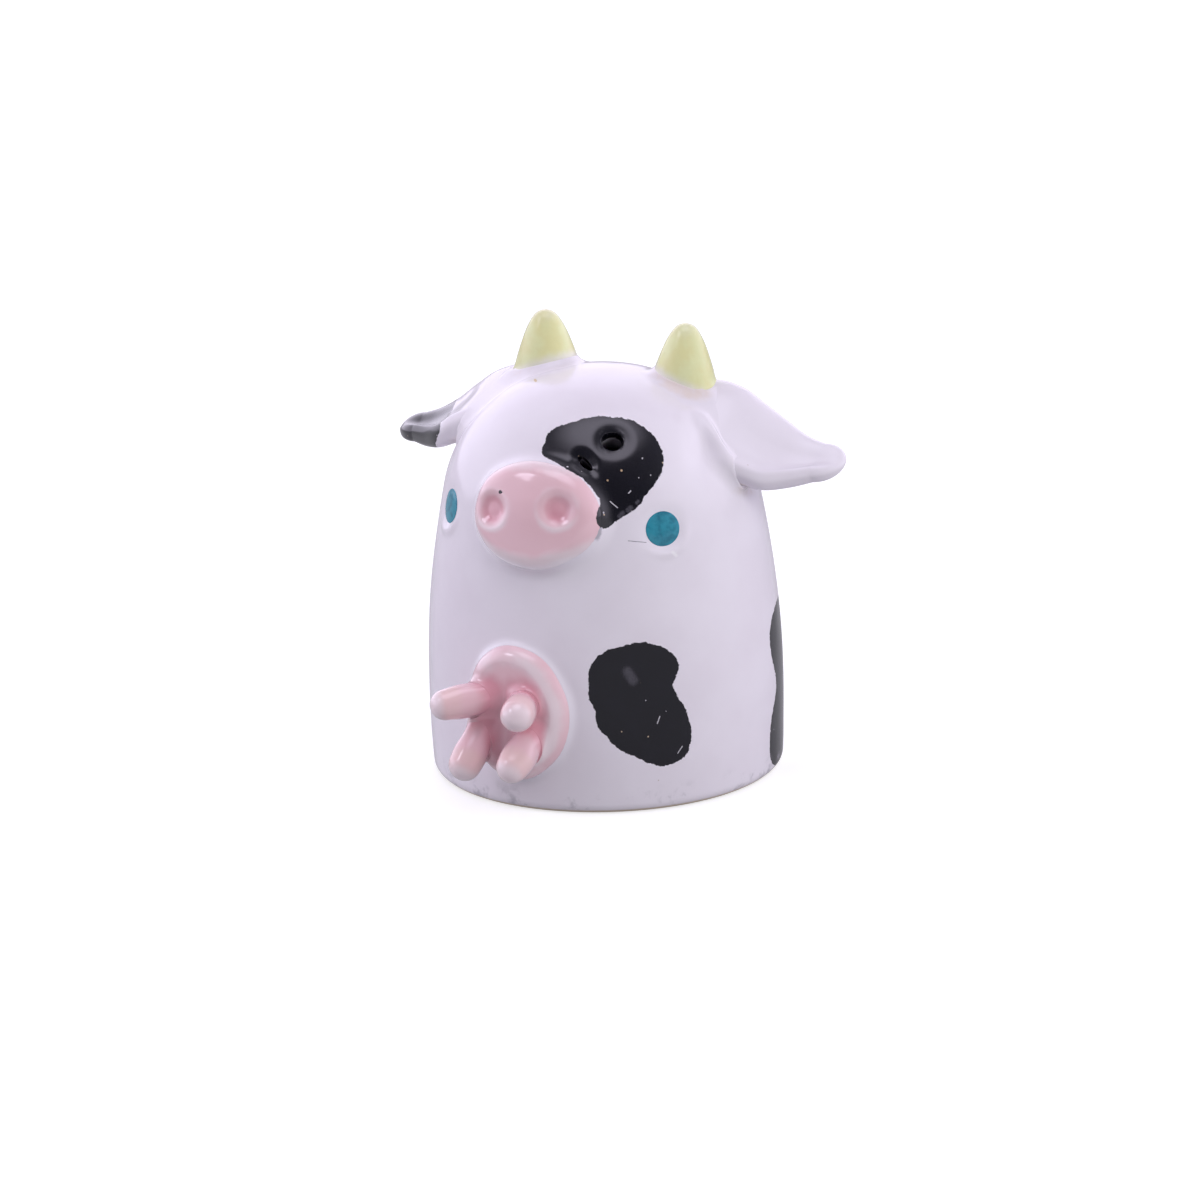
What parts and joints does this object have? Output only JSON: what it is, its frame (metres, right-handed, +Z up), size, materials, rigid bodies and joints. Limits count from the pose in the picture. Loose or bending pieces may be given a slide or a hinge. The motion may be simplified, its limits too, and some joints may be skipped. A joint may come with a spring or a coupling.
{
  "type": "cow figurine shaker",
  "caption": "Glazed ceramic cow in a dome shape, hollow, with pour holes in the brow and a rubber stopper in the base; stands on a flat foot ring.",
  "frame": {"origin": "centre of the foot ring, on the table", "axes": "+Z up; the face looks along -Y; +X is the cow's left"},
  "size_m": [0.0688, 0.0593, 0.0637],
  "materials": {
    "white_glaze": "glossy off-white glaze with black underglaze patches",
    "pink_glaze": "glossy pale pink glaze",
    "horn_glaze": "glossy pale yellow-green glaze",
    "turquoise_glaze": "glossy turquoise glaze",
    "stopper_rubber": "matte soft off-white rubber"
  },
  "bodies": {
    "cow": {"body_shell": "white_glaze", "base_slab": "white_glaze", "left_horn": "horn_glaze", "right_horn": "horn_glaze", "left_ear": "white_glaze", "right_ear": "white_glaze", "muzzle": "pink_glaze", "left_eye": "turquoise_glaze", "right_eye": "turquoise_glaze", "udder_pad": "pink_glaze", "teat_upper_right": "pink_glaze", "teat_lower_right": "pink_glaze", "teat_upper_left": "pink_glaze", "teat_lower_left": "pink_glaze"},
    "stopper": {"stopper": "stopper_rubber"}
  },
  "joints": [
    {"name": "stopper_pull", "type": "slide", "parent": "cow", "child": "stopper", "axis": [0, 0, -1], "range_m": [0, 0.02]}
  ]
}
